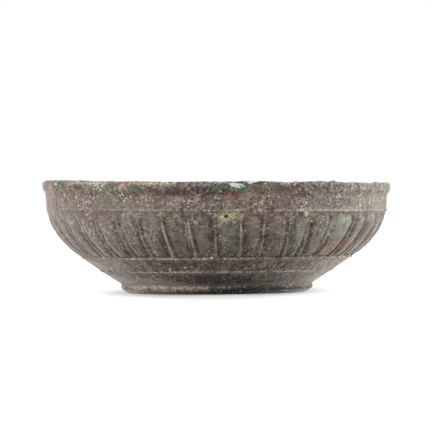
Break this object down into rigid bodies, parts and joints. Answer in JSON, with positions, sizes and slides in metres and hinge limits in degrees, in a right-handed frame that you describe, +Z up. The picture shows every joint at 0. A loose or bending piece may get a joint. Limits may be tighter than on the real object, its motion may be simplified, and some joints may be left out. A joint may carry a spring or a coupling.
{
  "type": "bronze bowl",
  "caption": "Shallow round bronze bowl with a thickened lip, a plain band, a frieze of round-topped vertical tongues between raised fillets, and a low ring foot.",
  "frame": {"origin": "centre of the ring foot's resting face, under the bowl's middle", "axes": "+Z up, out of the bowl's mouth; -Y towards the side that the picture shows; +X to the right in the picture, the side on which the lip stands a little lower"},
  "size_m": [0.15, 0.15, 0.049],
  "materials": {
    "brown_patina_bronze": "cast and chased bronze under a dry grey-brown patina, with green and pale crust at the lip and fine pale specks in its pits",
    "foot_bronze": "turned bronze under a dry brown patina, darker towards the resting face, with tan earth in its seam",
    "soft_solder": "dull grey lead-tin solder, corroded and earth-stained"
  },
  "bodies": {
    "root": {"bowl_body": "brown_patina_bronze", "ring_foot": "foot_bronze", "foot_solder": "soft_solder"}
  },
  "joints": []
}
